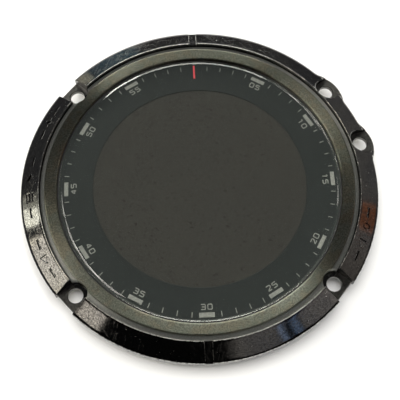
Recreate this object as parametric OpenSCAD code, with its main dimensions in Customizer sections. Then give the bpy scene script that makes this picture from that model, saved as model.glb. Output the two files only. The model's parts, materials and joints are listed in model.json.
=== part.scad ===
// Front bezel and display module of a wrist dive computer.
// Origin: ring axis, on the plane where the bezel seats on its case.
// +Z is up through the lens, +Y is twelve o'clock. Clock angles run clockwise from +Y.

/* [Bezel] */
// Radius of the round outline
bezel_r = 25.5; // [25:0.1:26]
// Height of the polished inner ridge above the seat
ridge_z = 2.7; // [2.5:0.1:3.2]
// Radius of the ridge
ridge_r = 22.8; // [22.75:0.05:22.9]
// Height of the outer wall, where the slope begins
wall_z = 1.37; // [1.2:0.01:1.5]
// Radius of the gap's outer wall
bore_r = 22.74; // [22.72:0.01:22.74]
// Radius of the hole through the base flange
flange_r = 21.4; // [21.37:0.01:21.6]
// Width of the grooves at twelve and six
groove_w = 1.1; // [0.6:0.1:2]
// Depth of the grooves and marks
groove_d = 0.22; // [0.1:0.02:0.3]
// Reach of the two button guards from the axis
guard_reach = 26.45; // [26:0.05:27]
// Radius of each button guard's round nose
guard_r = 4.5; // [3:0.1:6]

/* [Screw seats] */
// Radius of each screw hole
screw_hole_r = 1.05; // [0.9:0.05:1.2]
// Radius of each screw head seat
screw_seat_r = 1.75; // [1.6:0.05:1.9]
// Thickness of metal under a screw head
screw_floor = 0.8; // [0.7:0.05:0.9]
// Distance of the three plain screws from the axis
screw_circle_r = 23.4; // [23.3:0.05:23.6]
// Distance of the two guard screws from the axis
guard_screw_r = 24.55; // [24.5:0.05:24.7]

/* [Lens and ring] */
// Radius of the lens
lens_r = 20.05; // [20:0.05:20.1]
// Thickness of the lens
lens_t = 1.0; // [0.8:0.1:1.2]
// Height of the lens top
lens_top = 2.25; // [2.2:0.05:2.4]
// Width of the lens bevel
lens_bevel = 0.35; // [0.1:0.05:0.4]
// Inner radius of the satin ring
ring_in_r = 20.28; // [20.25:0.01:20.4]
// Height of the satin ring
ring_top = 2.5; // [2.4:0.05:2.6]
// Radius where the satin ring steps down
step_r = 22.0; // [21.7:0.1:22.2]
// Radius of the display's active area
active_r = 15.2; // [14:0.1:15.3]

/* [Case register] */
// Radius of the round register that enters the case
spigot_r = 21.35; // [21.2:0.05:21.4]
// Depth of the register below the seat
spigot_depth = 2.2; // [2:0.1:3]
// Cord diameter of the main seal
seal_d = 0.8; // [0.6:0.1:0.9]

/* [Hidden] */
$fn = 96;
eps = 0.01;
far = 60;

// Screw positions: [distance from the axis, clock angle]
plain_screws = [[screw_circle_r, 131], [screw_circle_r, 229], [screw_circle_r, 311]];
guard_screws = [[guard_screw_r, 53.6], [guard_screw_r, 76.4]];
screws = concat(plain_screws, guard_screws);

// Bezel. A fillet sinks a little into the arcs that it joins, so that they are one solid.
blank_h = 5;
guard_fillet = 1.5;
fillet_sink = 0.02;
ridge_round = [0.08, 0.04];
ridge_chamfer = 0.06;
slope = (ridge_z - wall_z) / (bezel_r - ridge_r);
seat_flat_r = 25.15;

// Marks on the slope, and antenna pockets in the underside
mark_r = 24.1;
mark_bar = [1.5, 0.2];
mark_bar_angles = [103.5, 119.5, 239, 250, 261.5, 280.5, 291, 301.5];
pocket_angles = [100, 260];
pocket_w = 2.2;
pocket_in_r = 22.7;
pocket_out_r = 23.9;
pocket_depth = 0.25;
pad_bottom = 0.1;

// Ring
shelf_r = 19.0;
shelf_top = 1.01;
ring_bottom = 0.35;
ring_body_r = 21.1;
adhesive_t = 0.05;
ring_chamfer = 0.05;
ledge_r = 22.6;
ledge_top = 2.2;
relief_r = screw_seat_r + 0.05;
film_margin = 0.1;

// Layers under the lens, each one's top height
lens_bottom = lens_top - lens_t;
lens_chamfer = 0.1;
print_t = 0.04;
mask_top = lens_bottom - print_t;
mask_t = 0.08;
mask_margin = 0.15;
bond_top = mask_top - mask_t;
polariser_t = 0.12;
front_top = 1.0;
filter_top = front_top - polariser_t;
glass_t = 0.35;
tft_top = filter_top - glass_t;
rear_top = tft_top - glass_t;
diffuser_top = rear_top - polariser_t;
diffuser_t = 0.08;
guide_top = diffuser_top - diffuser_t;
guide_t = 0.4;
reflector_top = guide_top - guide_t;
reflector_t = 0.08;
tray_top = reflector_top - reflector_t;
tray_t = 0.15;
tray_bottom = tray_top - tray_t;
glass_r = 16.2;
sheet_r = 16.0;
tray_wall = 0.2;
tray_in_r = 16.3;
tray_out_r = 16.55;

// Minute track: where its rows are centred, and the sizes of its marks
track_r = 18.95;
numeral_r = 17.95;
tick = [0.13, 0.62];
five_bar = [2.0, 0.66];
twelve_r = 18.4;
twelve_line = [0.26, 2.2];
digit_w = 0.72;
digit_h = 0.84;
digit_gap = 0.2;
stroke = 0.14;

// Contact chin on the six o'clock side of the display. The tray and carrier are open below gap_y.
chin_y = -17.5;
chin_w = 12;
gap_y = -11;
filter_cut_y = -15.9;
guide_cut_y = -15.35;
chip_y = -16.45;
chip_h = 0.28;

// Backlight: a strip board with lamps along the light guide's flat edge
lamp_x = [-3.6, 0, 3.6];
lamp_w = 1.6;
strip_w = 9.6;
strip_low_y = -16;
lamp_gap = 0.05;

// Flex: a ribbon that turns under the chin and folds along the fold line
flex_w = 8;
flex_t = 0.12;
flex_low_z = -0.86;
bend_y = -17.55;
fold_y = -16.9;
fold_gap = 0.1;
narrow_y = -12;
tail_w = 5;
tail_end_y = 6;
plug_y = 4.2;

// Capacitors and plug on the tail, each as [width, length, height]
chip_part = [0.5, 1, 0.4];
chip_part_y = -14.5;
plug = [4.6, 1.9, 0.6];
plug_slot = [3.6, 0.7, 0.4];
contact = [0.18, 0.24, 0.55];
contact_pitch = 0.4;
contact_x = 1.6;
contact_row = 1.08;

// Foam crescents on the tray, one on each side of the flex
foam_in_r = 11.5;
foam_out_r = 15.8;
foam_t = 0.45;
foam_gap = flex_w + 4;

// Register. Its neck above the seat is a little slimmer, and fits inside the bezel's flange.
neck_r = spigot_r - 0.3;
seal_z = -1.1;
groove_bottom_r = spigot_r - seal_d;
spigot_chamfer = 0.15;
spigot_in_r = 19.6;
slot_r = 18.2;
slot_w = 2.4;
slot_h = 1;
web_r = 16.9;
web_top = -0.1;
web_bottom = -1.0;
frame_top = 0.3;

// Moves a child from twelve o'clock to a distance and a clock angle
module at_clock(r, angle) {
  rotate([0, 0, -angle]) translate([0, r, 0]) children();
}

// A round of revolution from [radius, height] points
module ring(points) {
  rotate_extrude($fn = 180) polygon(points);
}

// A flat washer between two radii and two heights
module washer(r_in, r_out, z_low, z_high) {
  ring([[r_in, z_low], [r_out, z_low], [r_out, z_high], [r_in, z_high]]);
}

// A disc between two heights
module disc(r, z_low, z_high) {
  translate([0, 0, z_low]) cylinder(r = r, h = z_high - z_low, $fn = 180);
}

// A box centred in X between two Y values and two heights
module slab(w, y_low, y_high, z_low, z_high) {
  translate([-w / 2, y_low, z_low]) cube([w, y_high - y_low, z_high - z_low]);
}

// Cuts away everything on the six o'clock side of a line
module cut_below(y) {
  difference() {
    children();
    slab(far, -far, y, -far, far);
  }
}

// One button guard as a tall post, pointing to twelve, with a hollow fillet on each side
module guard_post() {
  nose_y = guard_reach - guard_r;
  to_fillet = bezel_r + guard_fillet;
  cosine = (nose_y * nose_y + to_fillet * to_fillet - pow(guard_r + guard_fillet, 2))
    / (2 * nose_y * to_fillet);
  spread = acos(cosine);
  fillet = [to_fillet * sin(spread), to_fillet * cos(spread)];
  share = guard_r / (guard_r + guard_fillet);
  touch = [fillet[0] * share, nose_y + (fillet[1] - nose_y) * share];
  translate([0, nose_y, 0]) cylinder(r = guard_r, h = blank_h);
  difference() {
    linear_extrude(height = blank_h) polygon([
      [0, 0], [-fillet[0], fillet[1]], [-touch[0], touch[1]], [touch[0], touch[1]],
      [fillet[0], fillet[1]]
    ]);
    for (side = [-1, 1]) {
      translate([side * fillet[0], fillet[1], -1])
        cylinder(r = guard_fillet + fillet_sink, h = blank_h + 2);
    }
  }
}

// The bezel's plan as a tall blank
module bezel_blank() {
  cylinder(r = bezel_r, h = blank_h, $fn = 180);
  for (s = guard_screws) rotate([0, 0, -s[1]]) guard_post();
}

// The bezel's round section, lowered by drop for the floor of a groove or mark
module bezel_section(drop) {
  tip_r = guard_reach + 1;
  tip_z = wall_z - (tip_r - bezel_r) * slope;
  ring([
    [flange_r, 0], [tip_r, 0], [tip_r, tip_z - drop],
    [ridge_r + ridge_round[0], ridge_z - ridge_round[1] - drop], [ridge_r, ridge_z - drop],
    [bore_r, ridge_z - ridge_chamfer - drop], [bore_r, screw_floor], [flange_r, screw_floor]
  ]);
}

// A bar mark in the plan, long along the circle
module bar_mark(size) {
  square(size, center = true);
}

// A triangle mark that points along the circle: 1 clockwise, -1 counter-clockwise
module arrow_mark(way) {
  polygon([[-0.5 * way, -0.55], [-0.5 * way, 0.55], [0.6 * way, 0]]);
}

// A round mark with four short rays, for the lamp button
module lamp_mark() {
  circle(r = 0.32);
  for (a = [0:90:270]) rotate(a) translate([0.62, 0]) square([0.3, 0.14], center = true);
}

// A ring mark, for the lap button
module lap_mark() {
  difference() {
    circle(r = 0.52);
    circle(r = 0.34);
  }
}

// Three stacked bars, for the menu button
module menu_mark() {
  for (y = [-0.42, 0, 0.42]) translate([0, y]) bar_mark([1.3, 0.18]);
}

// All generic button marks, in the plan
module button_marks() {
  for (a = mark_bar_angles) at_clock(mark_r, a) bar_mark(mark_bar);
  at_clock(mark_r, 108.5) lap_mark();
  at_clock(mark_r, 114.5) arrow_mark(1);
  at_clock(mark_r, 244.5) arrow_mark(-1);
  at_clock(mark_r, 267) menu_mark();
  at_clock(mark_r, 274.5) arrow_mark(1);
  at_clock(mark_r, 296.3) lamp_mark();
}

// Screw hole, head seat and the way out to the rim
module screw_seat(r) {
  translate([0, r, -1]) cylinder(r = screw_hole_r, h = blank_h, $fn = 48);
  translate([0, r, screw_floor]) cylinder(r = screw_seat_r, h = blank_h, $fn = 48);
  slab(2 * screw_seat_r, r, far, screw_floor, blank_h);
}

// Pocket in the underside for one antenna contact
module contact_pocket(angle, grow, depth) {
  rotate([0, 0, -angle])
    slab(pocket_w + 2 * grow, pocket_in_r - grow, pocket_out_r + grow, -1, depth);
}

module outer_bezel() {
  color([0.13, 0.13, 0.14])
  difference() {
    intersection() {
      bezel_section(0);
      bezel_blank();
    }
    difference() {
      union() {
        for (a = [0, 180]) rotate([0, 0, a])
          slab(groove_w, bore_r - 1, far, screw_floor + eps, blank_h);
        translate([0, 0, screw_floor]) linear_extrude(height = blank_h) button_marks();
      }
      bezel_section(groove_d);
    }
    for (s = screws) rotate([0, 0, -s[1]]) screw_seat(s[0]);
    for (s = plain_screws) rotate([0, 0, -s[1]])
      slab(2 * screw_seat_r, seat_flat_r, far, -1, blank_h);
    for (a = pocket_angles) contact_pocket(a, 0.1, pocket_depth);
  }
}

module inner_ring() {
  color([0.45, 0.44, 0.38])
  difference() {
    ring([
      [shelf_r, ring_bottom], [ring_body_r, ring_bottom],
      [ring_body_r, screw_floor + adhesive_t], [ledge_r, screw_floor + adhesive_t],
      [ledge_r, ledge_top], [step_r, ledge_top], [step_r, ring_top],
      [ring_in_r + ring_chamfer, ring_top], [ring_in_r, ring_top - ring_chamfer],
      [ring_in_r, shelf_top],
      [shelf_r, shelf_top]
    ]);
    for (s = plain_screws) at_clock(s[0], s[1]) cylinder(r = relief_r, h = blank_h, $fn = 48);
  }
}

module ring_adhesive() {
  color([0.8, 0.78, 0.6])
  difference() {
    washer(flange_r + film_margin, ledge_r - film_margin, screw_floor, screw_floor + adhesive_t);
    for (s = plain_screws) at_clock(s[0], s[1])
      cylinder(r = relief_r + adhesive_t, h = blank_h, $fn = 48);
  }
}

module lens() {
  color([0.3, 0.33, 0.34, 0.35])
  ring([
    [0, lens_bottom], [lens_r - lens_chamfer, lens_bottom], [lens_r, lens_bottom + lens_chamfer],
    [lens_r, lens_top - lens_bevel], [lens_r - lens_bevel, lens_top], [0, lens_top]
  ]);
}

module lens_seal() {
  seal_foot_r = shelf_r + film_margin;
  seal_out = ring_in_r - 0.02;
  seal_in = lens_r + 0.02;
  color([0.05, 0.05, 0.05])
  ring([
    [seal_foot_r, shelf_top], [seal_out, shelf_top], [seal_out, lens_top - lens_bevel],
    [seal_in, lens_top - lens_bevel], [seal_in, bond_top], [seal_foot_r, bond_top]
  ]);
}

// Strokes of a square digit: a top, b and c right, d foot, e and f left, g middle
strokes = ["abcdef", "bc", "abged", "abgcd", "fgbc", "afgcd", "afgedc", "abc", "abcdefg", "abcdfg"];

module digit(n) {
  half = digit_h / 2;
  for (s = strokes[n]) {
    if (s == "a") translate([0, digit_h - stroke]) square([digit_w, stroke]);
    if (s == "g") translate([0, half - stroke / 2]) square([digit_w, stroke]);
    if (s == "d") square([digit_w, stroke]);
    if (s == "b") translate([digit_w - stroke, half - stroke / 2]) square([stroke, half + stroke / 2]);
    if (s == "c") translate([digit_w - stroke, 0]) square([stroke, half + stroke / 2]);
    if (s == "e") square([stroke, half + stroke / 2]);
    if (s == "f") translate([0, half - stroke / 2]) square([stroke, half + stroke / 2]);
  }
}

// Two digits centred on the origin
module numeral(minute) {
  translate([-digit_w - digit_gap / 2, -digit_h / 2]) digit(floor(minute / 10));
  translate([digit_gap / 2, -digit_h / 2]) digit(minute % 10);
}

// The printed minute track: a bar and numeral every five minutes, ticks between
module minute_scale() {
  color([0.7, 0.69, 0.64])
  translate([0, 0, mask_top]) linear_extrude(height = print_t) {
    for (m = [1:59]) rotate(-6 * m) {
      if (m % 5 != 0) translate([0, track_r]) square(tick, center = true);
      if (m % 5 == 0) translate([0, track_r]) square(five_bar, center = true);
      if (m % 5 == 0) translate([0, numeral_r]) rotate(m >= 20 && m <= 40 ? 180 : 0) numeral(m);
    }
    translate([0, twelve_r]) square(twelve_line, center = true);
  }
}

module scale_mask() {
  color([0.06, 0.06, 0.06]) washer(active_r, lens_r - mask_margin, mask_top - mask_t, mask_top);
}

module optical_bond() {
  color([0.75, 0.8, 0.8, 0.4])
  ring([[0, front_top], [glass_r, front_top], [glass_r, bond_top],
    [active_r, bond_top], [active_r, lens_bottom], [0, lens_bottom]]);
}

module front_polariser() {
  color([0.16, 0.16, 0.15])
  cut_below(filter_cut_y + film_margin) disc(glass_r - film_margin, filter_top, front_top);
}

module colour_filter_glass() {
  color([0.3, 0.32, 0.3]) cut_below(filter_cut_y) disc(glass_r, tft_top, filter_top);
}

module tft_glass() {
  color([0.35, 0.4, 0.38]) {
    disc(glass_r, rear_top, tft_top);
    slab(chin_w, chin_y, 0, rear_top, tft_top);
  }
}

module driver_chip() {
  color([0.2, 0.2, 0.22]) slab(8, chip_y - 0.35, chip_y + 0.35, tft_top, tft_top + chip_h);
}

module rear_polariser() {
  color([0.2, 0.2, 0.2]) disc(sheet_r, diffuser_top, rear_top);
}

module diffuser_sheet() {
  color([0.93, 0.93, 0.9]) cut_below(guide_cut_y) disc(sheet_r, guide_top, diffuser_top);
}

module light_guide() {
  color([0.85, 0.9, 0.9, 0.5]) cut_below(guide_cut_y) disc(sheet_r, reflector_top, guide_top);
}

module reflector_sheet() {
  color([0.95, 0.95, 0.95]) cut_below(guide_cut_y) disc(sheet_r, tray_top, reflector_top);
}

module led_strip() {
  color([0.75, 0.5, 0.2]) slab(strip_w, strip_low_y, guide_cut_y - 0.03, tray_top, reflector_top);
}

module backlight_leds() {
  color([0.95, 0.93, 0.8]) for (x = lamp_x) translate([x, 0, 0])
    slab(lamp_w, strip_low_y + lamp_gap, guide_cut_y - lamp_gap, reflector_top, guide_top - lamp_gap);
}

module backlight_tray() {
  color([0.78, 0.79, 0.8])
  difference() {
    union() {
      disc(tray_out_r, tray_bottom, tray_top);
      washer(tray_in_r, tray_out_r, tray_top - eps, rear_top + tray_wall);
    }
    slab(chin_w + 0.6, -far, gap_y, tray_top, far);
  }
}

module foam_pads() {
  color([0.12, 0.12, 0.12])
  difference() {
    washer(foam_in_r, foam_out_r, tray_bottom - foam_t, tray_bottom);
    slab(foam_gap, -far, far, -far, far);
  }
}

module carrier_frame() {
  color([0.1, 0.1, 0.11])
  difference() {
    ring([
      [spigot_in_r, -spigot_depth], [spigot_r - spigot_chamfer, -spigot_depth],
      [spigot_r, -spigot_depth + spigot_chamfer], [spigot_r, seal_z - seal_d / 2],
      [groove_bottom_r, seal_z - seal_d / 2], [groove_bottom_r, seal_z + seal_d / 2],
      [spigot_r, seal_z + seal_d / 2], [spigot_r, 0], [neck_r, 0], [neck_r, frame_top],
      [spigot_in_r, frame_top],
      [spigot_in_r, web_top], [web_r, web_top], [web_r, web_bottom],
      [spigot_in_r, web_bottom]
    ]);
    slab(chin_w + 1.4, -19.2, gap_y, -3, 2);
    for (a = [30:60:330]) rotate([0, 0, -a])
      slab(slot_w, slot_r - slot_h / 2, slot_r + slot_h / 2, -3, 3);
  }
}

module frame_adhesive() {
  color([0.8, 0.78, 0.6]) washer(spigot_in_r + film_margin, neck_r - film_margin, frame_top, ring_bottom);
}

module main_o_ring() {
  color([0.2, 0.05, 0.05])
  translate([0, 0, seal_z]) rotate_extrude($fn = 180)
    translate([spigot_r - seal_d / 2, 0]) circle(d = seal_d, $fn = 24);
}

module antenna_contacts() {
  color([0.85, 0.68, 0.3]) difference() {
    for (a = pocket_angles) contact_pocket(a, 0, pocket_depth);
    slab(2 * far, -far, far, -far, pad_bottom);
  }
}

module display_flex() {
  top_z = tft_top + flex_t / 2;
  bend_r = (top_z - flex_low_z) / 2;
  half_t = flex_t / 2;
  color([0.8, 0.5, 0.15]) {
    slab(flex_w, bend_y, chin_y + 0.5, tft_top, tft_top + flex_t);
    slab(flex_w, bend_y, fold_y - fold_gap, flex_low_z - half_t, flex_low_z + half_t);
    translate([0, bend_y, (top_z + flex_low_z) / 2]) rotate([0, 90, 0])
    intersection() {
      difference() {
        cylinder(r = bend_r + half_t, h = flex_w, center = true);
        cylinder(r = bend_r - half_t, h = flex_w + 1, center = true);
      }
      translate([-5, -10 + eps, -10]) cube([10, 10, 20]);
    }
  }
}

module flex_tail() {
  half_t = flex_t / 2;
  color([0.8, 0.5, 0.15]) {
    slab(flex_w, fold_y, narrow_y, flex_low_z - half_t, flex_low_z + half_t);
    slab(tail_w, narrow_y - eps, tail_end_y, flex_low_z - half_t, flex_low_z + half_t);
    translate([0, fold_y, flex_low_z]) rotate([0, 90, 0])
      cylinder(r = half_t, h = flex_w, center = true, $fn = 24);
  }
}

module flex_stiffener() {
  color([0.7, 0.6, 0.3])
  slab(tail_w, tail_end_y - 4, tail_end_y, flex_low_z + flex_t / 2, tray_bottom - 0.03);
}

module flex_capacitors() {
  top_z = flex_low_z - flex_t / 2;
  color([0.55, 0.42, 0.3]) for (x = [-2.7, -0.9, 0.9, 2.7]) translate([x, 0, 0])
    slab(chip_part[0], chip_part_y, chip_part_y + chip_part[1], top_z - chip_part[2], top_z);
}

module connector_plug() {
  top_z = flex_low_z - flex_t / 2;
  color([0.08, 0.08, 0.08])
  difference() {
    slab(plug[0], plug_y - plug[1] / 2, plug_y + plug[1] / 2, top_z - plug[2], top_z);
    slab(plug_slot[0], plug_y - plug_slot[1] / 2, plug_y + plug_slot[1] / 2,
      top_z - 1, top_z - plug[2] + plug_slot[2]);
  }
}

module connector_contacts() {
  top_z = flex_low_z - flex_t / 2;
  color([0.85, 0.68, 0.3]) for (x = [-contact_x:contact_pitch:contact_x], side = [-1, 1])
    translate([x, plug_y + side * contact_row, 0])
      slab(contact[0], -contact[1] / 2, contact[1] / 2, top_z - contact[2], top_z);
}

outer_bezel();
inner_ring();
ring_adhesive();
lens();
lens_seal();
minute_scale();
scale_mask();
optical_bond();
front_polariser();
colour_filter_glass();
tft_glass();
driver_chip();
rear_polariser();
diffuser_sheet();
light_guide();
reflector_sheet();
led_strip();
backlight_leds();
backlight_tray();
foam_pads();
carrier_frame();
frame_adhesive();
main_o_ring();
antenna_contacts();
display_flex();
flex_tail();
flex_stiffener();
flex_capacitors();
connector_plug();
connector_contacts();
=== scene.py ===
import json
import math

import bmesh
import bpy
from mathutils import Matrix, Vector


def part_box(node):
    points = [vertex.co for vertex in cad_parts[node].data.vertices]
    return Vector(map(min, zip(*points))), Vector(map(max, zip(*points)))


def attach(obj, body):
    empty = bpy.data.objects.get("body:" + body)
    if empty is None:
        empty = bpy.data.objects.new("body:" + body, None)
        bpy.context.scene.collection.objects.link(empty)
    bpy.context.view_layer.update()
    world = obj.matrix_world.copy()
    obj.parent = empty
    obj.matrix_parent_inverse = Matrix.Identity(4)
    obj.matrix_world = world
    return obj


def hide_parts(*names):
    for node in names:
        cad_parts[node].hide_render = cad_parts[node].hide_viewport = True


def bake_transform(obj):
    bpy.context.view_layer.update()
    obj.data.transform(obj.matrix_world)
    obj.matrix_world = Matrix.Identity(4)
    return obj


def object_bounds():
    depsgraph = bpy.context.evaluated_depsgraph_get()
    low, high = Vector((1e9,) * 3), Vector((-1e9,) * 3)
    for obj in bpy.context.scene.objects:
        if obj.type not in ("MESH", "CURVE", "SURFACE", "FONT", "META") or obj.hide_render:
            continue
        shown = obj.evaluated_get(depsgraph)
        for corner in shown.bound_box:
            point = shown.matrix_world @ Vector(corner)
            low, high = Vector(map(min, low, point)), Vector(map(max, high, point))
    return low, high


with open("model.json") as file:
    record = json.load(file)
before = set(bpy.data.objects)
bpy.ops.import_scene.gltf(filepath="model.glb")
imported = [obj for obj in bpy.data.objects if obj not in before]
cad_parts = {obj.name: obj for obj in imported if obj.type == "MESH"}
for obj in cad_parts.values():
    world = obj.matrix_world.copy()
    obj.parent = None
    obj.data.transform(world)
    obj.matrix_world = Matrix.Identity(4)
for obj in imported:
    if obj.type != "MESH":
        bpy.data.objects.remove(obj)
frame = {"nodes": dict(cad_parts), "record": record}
cad_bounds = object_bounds()

MM = 0.001
ROUND = 720  # columns round the rings in view
HIDDEN_ROUND = 360  # and round the layers inside

# ---------------------------------------------------------------- sizes, in metres
# What the frame gives
BEZEL_LOW, BEZEL_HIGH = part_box("outer_bezel")
LENS_LOW, LENS_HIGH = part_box("lens")
RING_LOW, RING_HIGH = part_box("inner_ring")
PRINT_LOW, PRINT_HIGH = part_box("minute_scale")
_, BOND_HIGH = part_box("optical_bond")
MASK_LOW, MASK_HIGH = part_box("scale_mask")
FACE_LOW, FACE_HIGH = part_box("front_polariser")
SEAL_LOW, SEAL_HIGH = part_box("lens_seal")
FRAME_LOW, FRAME_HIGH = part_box("carrier_frame")
TRAY_LOW, TRAY_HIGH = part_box("backlight_tray")
FOAM_LOW, FOAM_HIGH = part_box("foam_pads")
LED_LOW, LED_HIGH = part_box("backlight_leds")
SCREWS = [m["pos_m"] for m in frame["record"]["mounts"] if m["name"].startswith("screw_hole")]
PLAIN_SCREWS = SCREWS[:3]
GUARD_SCREWS = SCREWS[3:]

# The bezel's section and plan
BEZEL_R = -BEZEL_LOW.x
RIDGE_R = 22.8 * MM
RIDGE_Z = BEZEL_HIGH.z
BORE_R = 22.74 * MM
FLANGE_R = 21.4 * MM
FLOOR_Z = 0.8 * MM
WALL_Z = 1.37 * MM
SLOPE = (RIDGE_Z - WALL_Z) / (BEZEL_R - RIDGE_R)
GUARD_REACH = 26.45 * MM
GUARD_R = 4.5 * MM
GUARD_FILLET = 1.5 * MM
SEAT_FLAT_R = 25.15 * MM
HOLE_R = 1.05 * MM
SEAT_R = 1.75 * MM
GROOVE_W = 1.1 * MM
GROOVE_D = 0.22 * MM
MARK_R = 24.1 * MM
EDGE_BEVEL = 0.06 * MM
MARK_BEVEL = 0.025 * MM
ABOVE = 5 * MM  # above everything, for cutters
SLIVER = MM / 20000  # points closer than this are merged after a cut
COAT, SEAT, EDGE = 0, 1, 2  # material places on the bezel: polished, machined and worn edge

# The satin ring
RING_IN_R = 20.28 * MM
RING_DISH = 0.14 * MM  # how far the ring's face falls towards the lens
STEP_R = 22.0 * MM
LEDGE_R = 22.65 * MM
LEDGE_Z = 2.2 * MM

# The lens and the print
LENS_R = LENS_HIGH.x
LENS_FLAT_R = 19.48 * MM
BAND_R = 19.76 * MM  # outer edge of the slanted band round the flat
BAND_DROP = 0.07 * MM
MASK_R = 15.2 * MM
TICK_R = 19.0 * MM
TICK_SIZE = (0.12 * MM, 0.62 * MM)
BAR_SIZE = (2.1 * MM, 0.56 * MM)
TWELVE_R = 18.4 * MM
TWELVE_SIZE = (0.26 * MM, 2.2 * MM)
NUMERAL_R = 17.95 * MM
DIGIT_W = 0.72 * MM
DIGIT_H = 0.84 * MM
STROKE = 0.14 * MM

# The carrier under the bezel
CORD = 0.8 * MM  # thickness of the main seal
CORD_Z = -1.1 * MM
SPIGOT_IN_R = 19.6 * MM
NECK_R = 21.05 * MM
WEB_R = 16.9 * MM
WEB_HIGH = -0.1 * MM
WEB_LOW = -1.0 * MM

# The antenna contacts under the bezel
PAD_PLACES = (100, 260)  # clock angles
PAD_R = 23.3 * MM
PAD_W = 2.2 * MM
PAD_L = 1.2 * MM
PAD_HIGH = 0.25 * MM
PAD_CLEAR = 0.1 * MM

# The flex under the tray, and its plug
FLEX_W = 8 * MM
TAIL_W = 5 * MM
FLEX_HALF = 0.06 * MM
FLEX_TOP_Z = 0.59 * MM
FLEX_LOW_Z = -0.86 * MM
BEND_Y = -17.55 * MM
FOLD_Y = -16.9 * MM
NARROW_Y = -12 * MM
TAIL_END_Y = 6 * MM
PLUG_Y = 4.2 * MM
UNDER_FLEX = FLEX_LOW_Z - FLEX_HALF
PLUG_HALF_W = 2.3 * MM
PLUG_HALF_L = 0.95 * MM
PLUG_TAB = 0.05 * MM
PLUG_PITCH = 0.4 * MM
CONTACT_PLACES = [(PLUG_PITCH * i, side) for i in range(-4, 5) for side in (-1, 1)]


# ---------------------------------------------------------------- mesh helpers
def clock(r, degrees):
    """X and Y at a distance from the axis and a clock angle, clockwise from twelve."""
    a = math.radians(degrees)
    return r * math.sin(a), r * math.cos(a)


def clock_angle(point):
    """The clock angle of a point, in degrees."""
    return math.degrees(math.atan2(point[0], point[1])) % 360


def link(name, mesh):
    piece = bpy.data.objects.new(name, mesh)
    bpy.context.scene.collection.objects.link(piece)
    return piece


def shade(bm, angle):
    """Smooth faces, with edges past an angle in degrees marked as sharp."""
    limit = math.radians(angle)
    for face in bm.faces:
        face.smooth = True
    for edge in bm.edges:
        edge.smooth = len(edge.link_faces) == 2 and edge.calc_face_angle(0) < limit


def finish_mesh(name, bm, angle=35):
    """Turns a bmesh into a piece with outward normals, smooth up to an edge angle in degrees."""
    bmesh.ops.recalc_face_normals(bm, faces=bm.faces)
    shade(bm, angle)
    mesh = bpy.data.meshes.new(name)
    bm.to_mesh(mesh)
    bm.free()
    return link(name, mesh)


def skin(bm, rows, loop=False):
    """Joins rows of points with quads, each row a closed outline.

    The rows form a loop, or end in two caps. Returns the quads of each row, then the caps.
    """
    rows = [[bm.verts.new(p) for p in row] for row in rows]
    pairs = list(zip(rows, rows[1:]))
    if loop:
        pairs.append((rows[-1], rows[0]))
    faces = []
    for one, two in pairs:
        turned = zip(one, one[1:] + one[:1], two[1:] + two[:1], two)
        faces.append([bm.faces.new(corners) for corners in turned])
    if not loop:
        faces += [bm.faces.new(rows[0]), bm.faces.new(rows[-1][::-1])]
    return faces


def near(r, z, *steps):
    """Section points at steps in millimetres from a corner at a radius and a height."""
    return [(r + across * MM, z + up * MM) for across, up in steps]


def arc(r, z, radius, start, end, count):
    """Section points round a centre, between two angles in degrees from outwards."""
    turns = [math.radians(start + (end - start) * i / count) for i in range(count + 1)]
    return [(r + radius * math.cos(a), z + radius * math.sin(a)) for a in turns]


def lathe(bm, profile, count=ROUND):
    """A closed ring of revolution from (radius, height) points."""
    columns = []
    for k in range(count):
        x, y = clock(1, 360 * k / count)
        columns.append([(r * x, r * y, z) for r, z in profile])
    skin(bm, columns, loop=True)


def disc(bm, profile, count=ROUND, centre=(0, 0)):
    """A closed round solid whose (radius, height) profile runs from the low to the high centre."""
    rings = []
    for r, z in profile:
        spots = [clock(r, 360 * k / count) for k in range(count)]
        rings.append([(x + centre[0], y + centre[1], z) for x, y in spots])
    skin(bm, rings)


def box(bm, low, high, place=Matrix.Identity(4)):
    """A box between two corners, moved by a matrix."""
    corners = [
        bm.verts.new(place @ Vector((x, y, z)))
        for x in (low[0], high[0])
        for y in (low[1], high[1])
        for z in (low[2], high[2])
    ]
    for face in ((0, 1, 3, 2), (4, 6, 7, 5), (0, 4, 5, 1), (2, 3, 7, 6), (0, 2, 6, 4), (1, 5, 7, 3)):
        bm.faces.new([corners[i] for i in face])


def prism(bm, outline, low, high, place=Matrix.Identity(4)):
    """A straight prism over a plan outline of (x, y) points."""
    skin(bm, [[place @ Vector((x, y, z)) for x, y in outline] for z in (low, high)])


def circle(r, centre=(0, 0), count=64):
    """Points round a circle in the plan."""
    turns = [2 * math.pi / count * i for i in range(count)]
    return [(centre[0] + r * math.cos(a), centre[1] + r * math.sin(a)) for a in turns]


def at_clock(r, degrees):
    """The matrix that takes the origin to a clock position, with its own +Y outwards."""
    return Matrix.Rotation(-math.radians(degrees), 4, "Z") @ Matrix.Translation((0, r, 0))


def clean(piece):
    """Merges the slivers that a cut leaves, so that the next cut meets a closed mesh."""
    bm = bmesh.new()
    bm.from_mesh(piece.data)
    bmesh.ops.remove_doubles(bm, verts=bm.verts, dist=SLIVER)
    bmesh.ops.dissolve_degenerate(bm, dist=SLIVER, edges=bm.edges)
    bm.to_mesh(piece.data)
    bm.free()


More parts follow.
